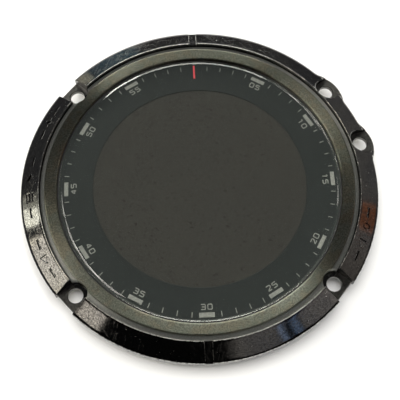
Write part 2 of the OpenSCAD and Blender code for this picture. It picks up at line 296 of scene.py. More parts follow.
def cut(piece, bm):
    """Takes the closed solids in bm away from a piece."""
    bmesh.ops.recalc_face_normals(bm, faces=bm.faces)
    bmesh.ops.triangulate(bm, faces=bm.faces)
    mesh = bpy.data.meshes.new("cutter")
    bm.to_mesh(mesh)
    bm.free()
    for material in piece.data.materials:
        mesh.materials.append(material)
    cutter = link("cutter", mesh)
    knife = piece.modifiers.new("cut", "BOOLEAN")
    knife.operation = "DIFFERENCE"
    knife.solver = "EXACT"
    knife.object = cutter
    graph = bpy.context.evaluated_depsgraph_get()
    carved = bpy.data.meshes.new_from_object(piece.evaluated_get(graph))
    piece.modifiers.clear()
    piece.data = carved
    bpy.data.objects.remove(cutter)
    clean(piece)


def sharpen(piece, angle=35):
    """Shades a piece again after a cut."""
    bm = bmesh.new()
    bm.from_mesh(piece.data)
    shade(bm, angle)
    bm.to_mesh(piece.data)
    bm.free()


def give(piece, materials=(), body="module", stands_for=()):
    """Adds a piece's materials, puts it on a body and hides the CAD nodes it stands for."""
    for material in materials:
        piece.data.materials.append(material)
    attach(piece, body)
    if stands_for:
        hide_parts(*stands_for)


def dress(node, material):
    """Gives a CAD node a finished material."""
    piece = frame["nodes"][node]
    piece.data.materials.clear()
    piece.data.materials.append(material)


# ---------------------------------------------------------------- material helpers
class Graph:
    """Short calls for the nodes of a material or a world."""

    def __init__(self, tree):
        self.tree = tree

    def add(self, kind, **settings):
        node = self.tree.nodes.new(kind)
        for key, value in settings.items():
            setattr(node, key, value)
        return node

    def join(self, source, target):
        self.tree.links.new(source, target)

    def feed(self, socket, value):
        """Joins a socket to another, or sets it to a number, vector or colour."""
        if isinstance(value, bpy.types.NodeSocket):
            self.join(value, socket)
        elif isinstance(value, tuple) and len(socket.default_value) == 4:
            socket.default_value = (*value, 1)
        else:
            socket.default_value = value

    def math(self, operation, *values):
        node = self.add("ShaderNodeMath", operation=operation)
        for socket, value in zip(node.inputs, values):
            self.feed(socket, value)
        return node.outputs[0]

    def times(self, *values):
        """The product of numbers and sockets."""
        out = values[0]
        for value in values[1:]:
            out = self.math("MULTIPLY", out, value)
        return out

    def most(self, *values):
        """The largest of numbers and sockets."""
        out = values[0]
        for value in values[1:]:
            out = self.math("MAXIMUM", out, value)
        return out

    def line(self, value, gain, base):
        """value times gain, plus base."""
        return self.math("MULTIPLY_ADD", value, gain, base)

    def step(self, value, low, high, to_low=0.0, to_high=1.0):
        """A smooth step of value from to_low at low to to_high at high."""
        node = self.add("ShaderNodeMapRange", interpolation_type="SMOOTHSTEP")
        for socket, number in zip(node.inputs, (value, low, high, to_low, to_high)):
            self.feed(socket, number)
        return node.outputs["Result"]

    def band(self, value, centre, half, soft):
        """1 where value is within half of centre, falling to 0 over soft."""
        away = self.math("ABSOLUTE", self.math("SUBTRACT", value, centre))
        return self.step(away, half, half + soft, 1, 0)

    def blend(self, factor, one, two, mode="MIX"):
        """A mix of two colours, each a tuple or a socket."""
        node = self.add("ShaderNodeMix", data_type="RGBA", blend_type=mode)
        self.feed(node.inputs["Factor"], factor)
        self.feed(node.inputs[6], one)
        self.feed(node.inputs[7], two)
        return node.outputs[2]

    def tint(self, value, low, high, dark, light):
        """dark where value is under low, light where it is over high."""
        return self.blend(self.step(value, low, high), dark, light)

    def grey(self, value):
        """A colour with the same value in all three parts."""
        node = self.add("ShaderNodeCombineColor")
        for socket in node.inputs:
            self.feed(socket, value)
        return node.outputs[0]

    def dot(self, one, two):
        node = self.add("ShaderNodeVectorMath", operation="DOT_PRODUCT")
        self.feed(node.inputs[0], one)
        self.feed(node.inputs[1], two)
        return node.outputs["Value"]


class Paint(Graph):
    """A Principled material with procedural detail."""

    def __init__(self, name, colour=(0.5, 0.5, 0.5), metallic=0.0, roughness=0.5, **sockets):
        self.material = bpy.data.materials.new(name)
        self.material.use_nodes = True
        super().__init__(self.material.node_tree)
        self.shader = self.tree.nodes["Principled BSDF"]
        self.output = self.tree.nodes["Material Output"]
        self.feed(self.shader.inputs["Base Color"], colour)
        self.feed(self.shader.inputs["Metallic"], metallic)
        self.feed(self.shader.inputs["Roughness"], roughness)
        for socket, value in sockets.items():
            self.shader.inputs[socket.replace("_", " ")].default_value = value
        self.place = self.add("ShaderNodeTexCoord").outputs["Object"]
        parts = self.add("ShaderNodeSeparateXYZ")
        self.join(self.place, parts.inputs[0])
        self.x, self.y, self.z = parts.outputs
        flat = self.math("ADD", self.times(self.x, self.x), self.times(self.y, self.y))
        self.radius = self.math("SQRT", flat)
        self.turn = self.math("ARCTAN2", self.x, self.y)

    def stretched(self, scale, turn=0.0):
        """Object coordinates turned about Z by an angle in degrees, then scaled by a vector."""
        spin = self.add("ShaderNodeMapping")
        spin.inputs["Rotation"].default_value = (0, 0, math.radians(turn))
        self.join(self.place, spin.inputs["Vector"])
        node = self.add("ShaderNodeMapping")
        node.inputs["Scale"].default_value = scale
        self.join(spin.outputs[0], node.inputs["Vector"])
        return node.outputs[0]

    def polar(self, across, along):
        """Texture coordinates with radius and height times across, and angle times along."""
        node = self.add("ShaderNodeCombineXYZ")
        self.join(self.times(self.radius, across), node.inputs[0])
        self.join(self.times(self.turn, along), node.inputs[1])
        self.join(self.times(self.z, across), node.inputs[2])
        return node.outputs[0]

    def noise(self, scale, detail=3.0, vector=None, roughness=0.6):
        node = self.add("ShaderNodeTexNoise")
        node.inputs["Scale"].default_value = scale
        node.inputs["Detail"].default_value = detail
        node.inputs["Roughness"].default_value = roughness
        self.join(vector or self.place, node.inputs["Vector"])
        return node.outputs["Fac"]

    def scratches(self, turn, fine, amount):
        """Long thin scratches in one direction: 1 on a scratch. A lower amount gives more of them."""
        field = self.noise(1, 1, self.stretched((fine, fine / 26, fine / 26), turn))
        return self.step(field, amount, amount + 0.02)

    def colour(self, value):
        self.feed(self.shader.inputs["Base Color"], value)

    def rough(self, value):
        self.feed(self.shader.inputs["Roughness"], value)

    def bump(self, height, distance, strength=1.0):
        node = self.add("ShaderNodeBump")
        node.inputs["Strength"].default_value = strength
        node.inputs["Distance"].default_value = distance
        self.join(height, node.inputs["Height"])
        self.join(node.outputs[0], self.shader.inputs["Normal"])

    def surface(self, tone, gain, base, distance, strength):
        """Gloss and bump from one noise, as the last call on a material."""
        self.rough(self.line(tone, gain, base))
        self.bump(tone, distance, strength)
        return self.material


# ---------------------------------------------------------------- materials
STEEL = (0.66, 0.65, 0.62)
COATING = (0.12, 0.12, 0.122)


def coating_wear_and_highlight(paint):
    """Where the coating is worn through: the ridge, nicks on the rim and grooves, and pits. On the near
    side the ridge's wear is made much stronger, as a painted highlight.
    """
    chips = paint.noise(1500, 3)
    fine_chips = paint.noise(4200, 2)
    nicks = paint.times(paint.step(paint.noise(700, 2), 0.48, 0.56), paint.step(fine_chips, 0.45, 0.55))
    # The ridge's wear is up to 2.4 times stronger towards the near side (Y under -18 mm): a painted
    # highlight on the near ridge, on top of the real wear.
    ridge = paint.times(
        paint.band(paint.radius, RIDGE_R + 0.01 * MM, 0.02 * MM, 0.07 * MM),
        paint.step(paint.z, RIDGE_Z - 0.12 * MM, RIDGE_Z - 0.07 * MM),
        paint.step(paint.y, -18 * MM, -12 * MM, 2.4, 1.0),
        paint.most(paint.step(chips, 0.35, 0.6, 0.16, 0.46), nicks),
    )
    rim_z = slope_z(BEZEL_R)
    rim = paint.times(
        paint.step(paint.radius, BEZEL_R - 0.13 * MM, BEZEL_R - 0.06 * MM),
        paint.band(paint.z, rim_z - 0.04 * MM, 0.03 * MM, 0.04 * MM),
        paint.step(fine_chips, 0.45, 0.56),
    )
    groove = paint.times(
        paint.band(paint.math("ABSOLUTE", paint.x), GROOVE_W / 2, 0.03 * MM, 0.04 * MM),
        paint.step(paint.z, rim_z - 0.1 * MM, rim_z),
        paint.step(chips, 0.35, 0.55),
        0.7,
    )
    pit_field = paint.step(paint.noise(800, 2), 0.5, 0.6)
    pits = paint.times(paint.step(paint.noise(5200, 1), 0.72, 0.75), pit_field, 0.8)
    return paint.most(ridge, rim, groove, pits)


def coated_steel():
    """Polished steel under a dark coating, worn to bright metal along its ridge, rim and grooves, with a
    painted highlight along the near ridge.
    """
    paint = Paint("coated_steel", COATING, metallic=1.0, roughness=0.1)
    coat = paint.tint(paint.noise(150, 3), 0.35, 0.65, (0.105, 0.105, 0.11), (0.135, 0.132, 0.128))
    mottle = paint.step(paint.noise(6200, 2), 0.3, 0.7, 0.5, 1.55)
    coat = paint.blend(1.0, coat, paint.grey(mottle), "MULTIPLY")
    # worn holds the real wear and the painted highlight on the near ridge.
    worn = coating_wear_and_highlight(paint)
    paint.colour(paint.blend(worn, coat, STEEL))
    # Hairlines round the bezel and rubbed scratches across it
    hairline = paint.step(paint.noise(1, 2, paint.polar(16000, 30)), 0.6, 0.66)
    rubs = [(20, 9000, 0.66), (-35, 8000, 0.67), (80, 7000, 0.68)]
    marks = paint.most(paint.times(hairline, 0.5), *[paint.scratches(*rub) for rub in rubs])
    haze = paint.line(paint.noise(330, 5), 0.1, 0.01)
    paint.rough(paint.math("ADD", haze, paint.most(paint.times(marks, 0.12), paint.times(worn, 0.35))))
    peel = paint.math("ADD", paint.times(paint.noise(900, 4), 0.8), paint.times(paint.noise(5200, 2), 0.8))
    paint.bump(paint.math("ADD", paint.times(marks, -0.6), peel), 0.004 * MM, 0.55)
    return paint.material


def seat_coating():
    """The same coating on machined faces, duller."""
    paint = Paint("seat_coating", (0.2, 0.2, 0.19), metallic=1.0, roughness=0.34)
    tone = paint.noise(2600, 4)
    paint.colour(paint.tint(tone, 0.3, 0.7, (0.15, 0.15, 0.145), (0.26, 0.255, 0.24)))
    return paint.surface(tone, 0.3, 0.22, 0.006 * MM, 0.5)


def worn_edge():
    """A bevelled edge of the coating, rubbed to bright metal in places."""
    paint = Paint("worn_edge", COATING, metallic=1.0, roughness=0.2)
    paint.colour(paint.tint(paint.noise(1700, 3), 0.48, 0.62, (0.15, 0.15, 0.15), (0.42, 0.41, 0.39)))
    paint.rough(paint.line(paint.noise(3000, 3), 0.24, 0.1))
    paint.bump(paint.noise(2600, 3), 0.006 * MM, 0.5)
    return paint.material


def satin_steel():
    """Steel with a fine turned grain, which gathers light into a fan across the ring."""
    paint = Paint("satin_steel", (0.4, 0.39, 0.3), metallic=1.0, roughness=0.34)
    paint.shader.inputs["Anisotropic"].default_value = 1.0
    paint.shader.inputs["Anisotropic Rotation"].default_value = 0.25
    tangent = paint.add("ShaderNodeTangent", direction_type="RADIAL", axis="Z")
    paint.join(tangent.outputs[0], paint.shader.inputs["Tangent"])
    grain = paint.noise(1, 3, paint.polar(9000, 300))
    tone = paint.line(paint.noise(6500, 2), 0.6, paint.times(grain, 0.4))
    face = paint.tint(tone, 0.4, 0.6, (0.174, 0.177, 0.15), (0.372, 0.374, 0.318))
    stain = paint.tint(paint.noise(600, 3), 0.4, 0.6, (1.03, 0.98, 0.9), (0.96, 1.0, 0.98))
    face = paint.blend(1.0, face, stain, "MULTIPLY")
    # The step outside the face is turned. It is painted brighter and greyer, with less metal: partly its
    # own finish, partly painted light that makes up for the shade of the walls round it
    ledge = paint.step(paint.radius, STEP_R - 0.02 * MM, STEP_R + 0.02 * MM)
    outer = paint.tint(tone, 0.36, 0.64, (0.4, 0.41, 0.38), (0.57, 0.58, 0.54))
    paint.colour(paint.blend(ledge, face, outer))
    paint.feed(paint.shader.inputs["Metallic"], paint.line(ledge, -0.06, 1.0))
    paint.rough(paint.math("ADD", paint.line(tone, 0.08, 0.3), paint.times(ledge, 0.08)))
    paint.bump(tone, 0.003 * MM, 0.4)
    return paint.material


def lens_crystal():
    """Clear crystal that lets the lamps reach the print under it, faintly smeared."""
    paint = Paint("lens_crystal", (0.96, 0.975, 0.97), roughness=0.02, IOR=1.77)
    paint.shader.inputs["Transmission Weight"].default_value = 1.0
    paint.rough(paint.step(paint.noise(90, 4), 0.35, 0.75, 0.012, 0.035))
    clear = paint.add("ShaderNodeBsdfTransparent")
    clear.inputs["Color"].default_value = (0.9, 0.92, 0.91, 1)
    path = paint.add("ShaderNodeLightPath")
    either = paint.add("ShaderNodeMixShader")
    paint.join(path.outputs["Is Shadow Ray"], either.inputs[0])
    paint.join(paint.shader.outputs[0], either.inputs[1])
    paint.join(clear.outputs[0], either.inputs[2])
    paint.join(either.outputs[0], paint.output.inputs["Surface"])
    return paint.material


def clear_film(name, tint, thin, thick, roughness=0.15):
    """A clear film or sheet, with faint clouds in how much of it shows."""
    paint = Paint(name, tint, roughness=roughness)
    paint.feed(paint.shader.inputs["Alpha"], paint.step(paint.noise(120, 4), 0.3, 0.7, thin, thick))
    paint.bump(paint.noise(400, 2), 0.002 * MM, 0.2)
    return paint.material


def ink(name, dark, light, roughness=0.55):
    """Printed ink with a fine uneven film."""
    paint = Paint(name, light, roughness=roughness)
    film = paint.noise(3000, 3)
    paint.colour(paint.tint(film, 0.3, 0.7, dark, light))
    return paint.surface(film, 0.2, roughness - 0.1, 0.002 * MM, 0.3)


def moulded(name, dark, light, roughness=0.5, grain=0.01 * MM, scale=1600):
    """Moulded plastic or rubber: fine grain in colour, gloss and surface."""
    paint = Paint(name, light, roughness=roughness)
    fine = paint.noise(scale, 4)
    tone = paint.line(paint.noise(scale / 12, 3), 0.5, paint.times(fine, 0.5))
    paint.colour(paint.tint(tone, 0.35, 0.65, dark, light))
    return paint.surface(fine, 0.2, roughness - 0.1, grain, 0.5)


def metal(name, dark, light, roughness=0.3, scale=(400, 6000, 400)):
    """Rolled or plated metal with fine streaks."""
    paint = Paint(name, light, metallic=1.0, roughness=roughness)
    streak = paint.noise(1, 4, paint.stretched(scale))
    paint.colour(paint.tint(streak, 0.3, 0.7, dark, light))
    return paint.surface(streak, 0.2, roughness - 0.1, 0.003 * MM, 0.4)


# ---------------------------------------------------------------- bezel
def guard_radius(degrees_off):
    """How far the outline reaches at an angle from a button guard's middle."""
    nose = GUARD_REACH - GUARD_R
    away = BEZEL_R + GUARD_FILLET
    cosine = (nose**2 + away**2 - (GUARD_R + GUARD_FILLET) ** 2) / (2 * nose * away)
    spread = math.acos(cosine)
    share = GUARD_R / (GUARD_R + GUARD_FILLET)
    touch_x = away * math.sin(spread) * share
    touch_y = nose + (away * math.cos(spread) - nose) * share
    off = abs(math.radians(degrees_off))
    if off < math.atan2(touch_x, touch_y):
        return nose * math.cos(off) + math.sqrt(GUARD_R**2 - (nose * math.sin(off)) ** 2)
    if off < spread:
        side = spread - off
        return away * math.cos(side) - math.sqrt(GUARD_FILLET**2 - (away * math.sin(side)) ** 2)
    return BEZEL_R


def outline_radius(degrees):
    """The bezel's plan radius at a clock angle."""
    reach = BEZEL_R
    for screw in GUARD_SCREWS:
        off = (degrees - clock_angle(screw) + 180) % 360 - 180
        reach = max(reach, guard_radius(off))
    return reach


def slope_z(r):
    return RIDGE_Z - (r - RIDGE_R) * SLOPE


def bezel_column(degrees):
    """The bezel's section at one angle: up the rim, in along the slope and down the bore."""
    rim = outline_radius(degrees)
    edge_z = slope_z(rim)
    outer = rim - 0.08 * MM
    inner = RIDGE_R + 0.09 * MM
    section = [(FLANGE_R, 0), *near(rim, 0, (-0.12, 0), (-0.035, 0.035), (0, 0.12))]
    section += [*near(rim, edge_z, (0, -0.1), (-0.02, -0.035)), (outer, slope_z(outer))]
    bands = 8
    for i in range(1, bands + 1):
        r = outer + (inner - outer) * i / bands
        section.append((r, slope_z(r) - 0.012 * MM * i / bands))
    section += near(RIDGE_R, RIDGE_Z, (0.03, -0.012), (-0.01, -0.003))
    section += near(BORE_R, RIDGE_Z, (0.01, -0.03), (0, -0.07))
    return section + [(BORE_R, FLOOR_Z), (FLANGE_R, FLOOR_Z)]


def offset(outline, by):
    """A counter-clockwise outline moved outwards by a distance."""
    points = [Vector(p) for p in outline]
    moved = []
    for i, p in enumerate(points):
        before = (p - points[i - 1]).normalized()
        after = (points[(i + 1) % len(points)] - p).normalized()
        side = Vector((before.y + after.y, -before.x - after.x)).normalized()
        moved.append(p + side * by / side.dot(Vector((before.y, -before.x))))
    return moved


def carve(bm, outline, place, floor, bevel=EDGE_BEVEL):
    """Adds a cutter from its floor up, flared to a bevel where its walls meet the slope.

    floor is a height, or a function of the distance from the axis.
    """
    lift = 0.8 * bevel
    plan = [place @ Vector((*p, 0)) for p in outline]
    wide = [place @ Vector((*p, 0)) for p in offset(outline, bevel + lift)]
    rows = [[], [], [], []]
    for p, q in zip(plan, wide):
        r = math.hypot(p.x, p.y)
        low = floor(r) if callable(floor) else floor
        flare = max(slope_z(r) - bevel, low + lift)
        rows[0].append((p.x, p.y, low))
        rows[1].append((p.x, p.y, flare))
        rows[2].append((q.x, q.y, flare + bevel + lift))
        rows[3].append((q.x, q.y, ABOVE))
    *walls, bottom, top = skin(bm, rows)
    for wall, kind in zip(walls, (COAT, EDGE, EDGE)):
        for face in wall:
            face.material_index = kind
    bottom.material_index = SEAT
    top.material_index = EDGE


def seat_outline():
    """A screw head seat in the plan: a half round inwards, straight sides out past the rim."""
    past_rim = 4 * MM
    return [*arc(0, 0, SEAT_R, 180, 360, 32), (SEAT_R, past_rim), (-SEAT_R, past_rim)]


def rectangle(w, h, x=0.0, y=0.0):
    """A rectangle's corners, counter-clockwise."""
    return [(x + i * w / 2, y + j * h / 2) for i, j in ((-1, -1), (1, -1), (1, 1), (-1, 1))]


def mark_floor(r):
    return slope_z(r) - GROOVE_D


def engrave(bm, outline, degrees):
    """One engraved mark at a clock angle."""
    carve(bm, outline, at_clock(MARK_R, degrees), mark_floor, MARK_BEVEL)


def button_marks(bm):
    """Generic marks by each button place: bars, triangles, a lamp and stacked bars."""
    for degrees in (103.5, 119.5, 239, 250, 261.5, 280.5, 291, 301.5):
        engrave(bm, rectangle(1.5 * MM, 0.2 * MM), degrees)
    back, point, half = -0.5 * MM, 0.6 * MM, 0.55 * MM
    for degrees, way in ((114.5, 1), (244.5, -1), (274.5, 1)):
        triangle = [(back * way, -half), (point * way, 0), (back * way, half)]
        engrave(bm, triangle[::way], degrees)
    for shift in (-0.42 * MM, 0, 0.42 * MM):
        engrave(bm, rectangle(1.3 * MM, 0.18 * MM, y=shift), 267)
    hub = at_clock(MARK_R, 296.3)
    carve(bm, circle(0.32 * MM, count=24), hub, mark_floor, MARK_BEVEL)
    for quarter in range(4):
        turned = hub @ Matrix.Rotation(quarter * math.pi / 2, 4, "Z")
        carve(bm, rectangle(0.3 * MM, 0.14 * MM, x=0.62 * MM), turned, mark_floor, MARK_BEVEL)


def ring_mark(bm):
    """The ring mark, as one washer that reaches from its floor to above the slope."""
    place = at_clock(MARK_R, 108.5)
    columns = []
    for one, two in zip(circle(0.52 * MM, count=32), circle(0.34 * MM, count=32)):
        one, two = place @ Vector((*one, 0)), place @ Vector((*two, 0))
        low_one, low_two = mark_floor(one.length), mark_floor(two.length)
        corners = [(one, low_one), (two, low_two), (two, ABOVE), (one, ABOVE)]
        columns.append([(p.x, p.y, z) for p, z in corners])
    skin(bm, columns, loop=True)


def screw_hole(bm, screw):
    """A cutter for a through hole with a bevelled mouth at both ends."""
    mouth, lift = 0.09 * MM, 0.03 * MM
    wide = HOLE_R + mouth + lift
    rings = [(wide, -MM), (wide, -lift), (HOLE_R, mouth), (HOLE_R, FLOOR_Z - mouth)]
    rings += [(wide, FLOOR_Z + lift), (wide, ABOVE)]
    disc(bm, rings, 64, screw[:2])


def bezel_blank():
    """The bezel before its cuts, turned round the axis with the two guards."""
    bm = bmesh.new()
    columns = []
    for k in range(ROUND):
        degrees = 360 * k / ROUND
        x, y = clock(1, degrees)
        columns.append([(r * x, r * y, z) for r, z in bezel_column(degrees)])
    skin(bm, columns, loop=True)
    piece = finish_mesh("bezel_body", bm)
    for material in (coated_steel(), seat_coating(), worn_edge()):
        piece.data.materials.append(material)
    for face in piece.data.polygons:
        if face.center.z < 0.01 * MM:
            face.material_index = SEAT
    return piece


def cut_seats(piece):
    """The screw seats, the flats outside the plain ones with their bevels, and the holes."""
    bm = bmesh.new()
    for screw in SCREWS:
        carve(bm, seat_outline(), at_clock(math.hypot(*screw[:2]), clock_angle(screw)), FLOOR_Z)
    cut(piece, bm)
    flats = [at_clock(SEAT_FLAT_R, clock_angle(screw)) for screw in PLAIN_SCREWS]
    clear, depth = 0.03 * MM, 3 * MM
    bm = bmesh.new()
    for flat in flats:
        prism(bm, rectangle(2 * (SEAT_R + clear), depth, y=depth / 2), -MM, ABOVE, flat)
    cut(piece, bm)
    bm = bmesh.new()
    half, reach = 0.06 * MM, SEAT_R + clear / 2
    for flat in flats:
        corner = flat @ Matrix.Translation((0, 0, FLOOR_Z)) @ Matrix.Rotation(math.pi / 4, 4, "X")
        box(bm, (-reach, -half, -half), (reach, half, half), corner)
    for face in bm.faces:
        face.material_index = EDGE
    cut(piece, bm)
    bm = bmesh.new()
    for screw in SCREWS:
        screw_hole(bm, screw)
    bm.normal_update()
    for face in bm.faces:
        face.material_index = EDGE if 0.3 < abs(face.normal.z) < 0.95 else SEAT
    cut(piece, bm)


def cut_marks(piece):
    """The grooves at twelve and six and the engraved marks."""
    bm = bmesh.new()
    for degrees in (0, 180):
        start_r, length = 22 * MM, 5 * MM
        groove = rectangle(GROOVE_W, length, y=length / 2)
        carve(bm, groove, at_clock(start_r, degrees), mark_floor)
    button_marks(bm)
    ring_mark(bm)
    for face in bm.faces:
        face.material_index = EDGE if face.material_index == EDGE else COAT
    cut(piece, bm)


def cut_pockets(piece):
    """The pockets for the antenna contacts, in the underside."""
    bm = bmesh.new()
    half_w, half_l = PAD_W / 2 + PAD_CLEAR, PAD_L / 2 + PAD_CLEAR
    for degrees in PAD_PLACES:
        low, high = (-half_w, PAD_R - half_l, -MM), (half_w, PAD_R + half_l, PAD_HIGH)
        box(bm, low, high, at_clock(0, degrees))
    cut(piece, bm)


def bezel():
    piece = bezel_blank()
    cut_seats(piece)
    cut_marks(piece)
    cut_pockets(piece)
    sharpen(piece)
    give(piece, stands_for=("outer_bezel",))


# ---------------------------------------------------------------- satin ring
def satin_ring():
    """The ring round the lens: a dished face, then a step that slopes outwards to a round edge."""
    bm = bmesh.new()
    low = RING_LOW.z
    floor = FLOOR_Z + 0.05 * MM
    body_r = 21.2 * MM
    shelf_r, shelf_z = 19.0 * MM, 1.01 * MM
    face_z = RING_HIGH.z
    inner_z = face_z - RING_DISH
    curve = 0.07 * MM
    rim_r, rim_z = LEDGE_R - curve, LEDGE_Z - 0.13 * MM - curve
    lathe(bm, [
        (shelf_r, low), (body_r, low), (body_r, floor),
        *near(LEDGE_R, floor, (-0.05, 0), (0, 0.05)),
        (LEDGE_R, rim_z - 0.01 * MM),
        *arc(rim_r, rim_z, curve, 10, 70, 6),
        *near(STEP_R, LEDGE_Z, (0.14, -0.006), (0.1, 0), (0.03, -0.07), (0, -0.06)),
        *near(STEP_R, face_z, (0, -0.12), (-0.02, -0.07), (-0.05, -0.04)),
        *near(STEP_R, face_z, (-0.14, -0.005), (-0.18, 0), (-0.24, -0.002)),
        *near(RING_IN_R, inner_z, (0.24, 0.004), (0.2, 0), (0.1, -0.033), (0.03, -0.08), (0, -0.14)),
        (RING_IN_R, shelf_z), (shelf_r, shelf_z),
    ])
    piece = finish_mesh("lens_ring", bm)
    bm = bmesh.new()
    for screw in PLAIN_SCREWS:
        prism(bm, circle(SEAT_R + 0.05 * MM, screw[:2]), 0, 5 * MM)
    cut(piece, bm)
    sharpen(piece)
    give(piece, [satin_steel()], stands_for=("inner_ring",))


# ---------------------------------------------------------------- lens and print
def lens():
    """The crystal: a flat top, a slanted band round it, a chamfer and a straight side."""
    bm = bmesh.new()
    low, high = LENS_LOW.z, LENS_HIGH.z
    disc(bm, [
        *near(LENS_R, low, (-0.15, 0), (-0.1, 0), (0, 0.1)),
        *near(LENS_R, high, (0, -0.34), (-0.01, -0.29), (-0.04, -0.25)),
        *near(BAND_R, high - BAND_DROP, (0.03, -0.03), (0, -0.003), (-0.03, 0.007)),
        *near(LENS_FLAT_R, high, (0.03, -0.009), (0, -0.002), (-0.04, 0), (-0.1, 0)),
    ])
    piece = finish_mesh("lens_crystal", bm, angle=40)
    give(piece, [lens_crystal()], stands_for=("lens",))


def display():
    """The display face, close under a mask whose window has a feathered edge."""
    bm = bmesh.new()
    face_r, top = FACE_HIGH.x, MASK_LOW.z - 0.01 * MM
    disc(bm, [
        *near(face_r, FACE_LOW.z, (-0.03, 0), (0, 0.03)),
        *near(face_r, top, (0, -0.04), (-0.04, 0), (-0.2, 0), (-2, 0)),
    ], HIDDEN_ROUND)
    piece = finish_mesh("display_face", bm)
    face = ink("display_face", (0.0335, 0.0312, 0.0262), (0.041, 0.0382, 0.0325), 0.3)
    give(piece, [face], stands_for=("front_polariser",))
    bm = bmesh.new()
    lathe(bm, [
        (MASK_R, MASK_LOW.z), (MASK_HIGH.x, MASK_LOW.z),
        *near(MASK_HIGH.x, MASK_HIGH.z, (0, -0.02), (-0.02, 0)),
        (MASK_R + 0.09 * MM, MASK_HIGH.z),
    ], HIDDEN_ROUND)
    piece = finish_mesh("mask_print", bm)
    mask = ink("mask_ink", (0.0145, 0.0172, 0.016), (0.0196, 0.023, 0.0212), 0.4)
    give(piece, [mask], stands_for=("scale_mask",))


def seal():
    """The black seal round the lens, with a rounded glossy top."""
    bm = bmesh.new()
    out_r, in_r = SEAL_HIGH.x, LENS_R + 0.01 * MM
    middle, half = (out_r + in_r) / 2, (out_r - in_r) / 2
    top = arc(middle, SEAL_HIGH.z - half, half, 0, 180, 8)
    lathe(bm, [(out_r, SEAL_LOW.z), *top, (in_r, SEAL_LOW.z)])
    piece = finish_mesh("lens_gasket", bm)
    rubber = moulded("seal_black", (0.012, 0.012, 0.012), (0.03, 0.03, 0.03), 0.6, 0.004 * MM)
    give(piece, [rubber], stands_for=("lens_seal",))


def bond():
    """The clear layer under the lens, with a rounded free edge."""
    bm = bmesh.new()
    low, high = MASK_LOW.z, BOND_HIGH.z - 0.005 * MM
    edge_r, swell = BOND_HIGH.x - 0.01 * MM, (high - low) / 2
    flat_r = edge_r - 0.3 * MM
    edge = arc(edge_r - swell, (low + high) / 2, swell, -90, 90, 8)
    disc(bm, [(flat_r, low), *edge, (flat_r, high)], HIDDEN_ROUND)
    piece = finish_mesh("bond_layer", bm)
    film = clear_film("clear_bond", (0.03, 0.03, 0.028), 0.02, 0.05)
    give(piece, [film], stands_for=("optical_bond",))


GLYPHS = {
    "0": [("loop", [(0, 0), (1, 0), (1, 1), (0, 1)])],
    "1": [("line", [(0.2, 0.84), (0.6, 1), (0.6, 0)])],
    "2": [("line", [(0, 1), (1, 1), (1, 0.6), (0, 0), (1, 0)])],
    "3": [("line", [(0, 1), (1, 1), (1, 0), (0, 0)]), ("line", [(0.2, 0.52), (1, 0.52)])],
    "4": [("line", [(0.78, 0), (0.78, 1), (0, 0.28), (1, 0.28)])],
    "5": [("line", [(1, 1), (0, 1), (0, 0.56), (1, 0.56), (1, 0), (0, 0)])],
}


def rounded(points, r, closed):
    """A path with its corners rounded by short arcs."""
    count = len(points)
    out = []
    for i, p in enumerate(points):
        p = Vector(p)
        if not closed and i in (0, count - 1):
            out.append(p)
            continue
        before = Vector(points[i - 1]) - p
        after = Vector(points[(i + 1) % count]) - p
        reach = min(r, before.length / 2.2, after.length / 2.2)
        start, end = p + before.normalized() * reach, p + after.normalized() * reach
        for k in range(5):
            t = k / 4
            out.append(start * (1 - t) ** 2 + p * 2 * t * (1 - t) + end * t**2)
    return out


def stroke(bm, points, closed, place, low, high):
    """A flat stroke of ink along a path."""
    count = len(points)
    columns = []
    for i, p in enumerate(points):
        before = points[i - 1] if closed or i else p
        after = points[(i + 1) % count] if closed or i < count - 1 else p
        way = (after - before).normalized()
        side = Vector((-way.y, way.x)) * STROKE / 2
        corners = [(p + side, low), (p - side, low), (p - side, high), (p + side, high)]
        columns.append([place @ Vector((q.x, q.y, z)) for q, z in corners])
    skin(bm, columns, loop=closed)


def numeral(bm, minute, place, low, high):
    """Two digits, centred on the place."""
    pitch = DIGIT_W + 0.2 * MM
    for digit, shift in zip(f"{minute:02d}", (-pitch / 2, pitch / 2)):
        for kind, points in GLYPHS[digit]:
            w, h = DIGIT_W - STROKE, DIGIT_H - STROKE
            path = [Vector((shift + (x - 0.5) * w, (y - 0.5) * h)) for x, y in points]
            closed = kind == "loop"
            stroke(bm, rounded(path, 0.16 * MM, closed), closed, place, low, high)


def minute_track():
    """The minute marks, with a bar and a number at every fifth, and the red line at twelve."""
    bm = bmesh.new()
    low, high = PRINT_LOW.z, PRINT_HIGH.z - 0.002 * MM
    for minute in range(1, 60):
        size = BAR_SIZE if minute % 5 == 0 else TICK_SIZE
        prism(bm, rectangle(*size), low, high, at_clock(TICK_R, 6 * minute))
        if minute % 5 == 0:
            place = at_clock(NUMERAL_R, 6 * minute)
            if 20 <= minute <= 40:
                place = place @ Matrix.Rotation(math.pi, 4, "Z")
            numeral(bm, minute, place, low, high)
    piece = finish_mesh("minute_track", bm)
    pale = ink("scale_ink", (0.21, 0.206, 0.185), (0.29, 0.285, 0.255))
    give(piece, [pale], stands_for=("minute_scale",))
    bm = bmesh.new()
    prism(bm, rectangle(*TWELVE_SIZE), low, high, at_clock(TWELVE_R, 0))
    piece = finish_mesh("twelve_line", bm)
    red = ink("red_ink", (0.55, 0.055, 0.065), (0.68, 0.088, 0.1))
    give(piece, [red])


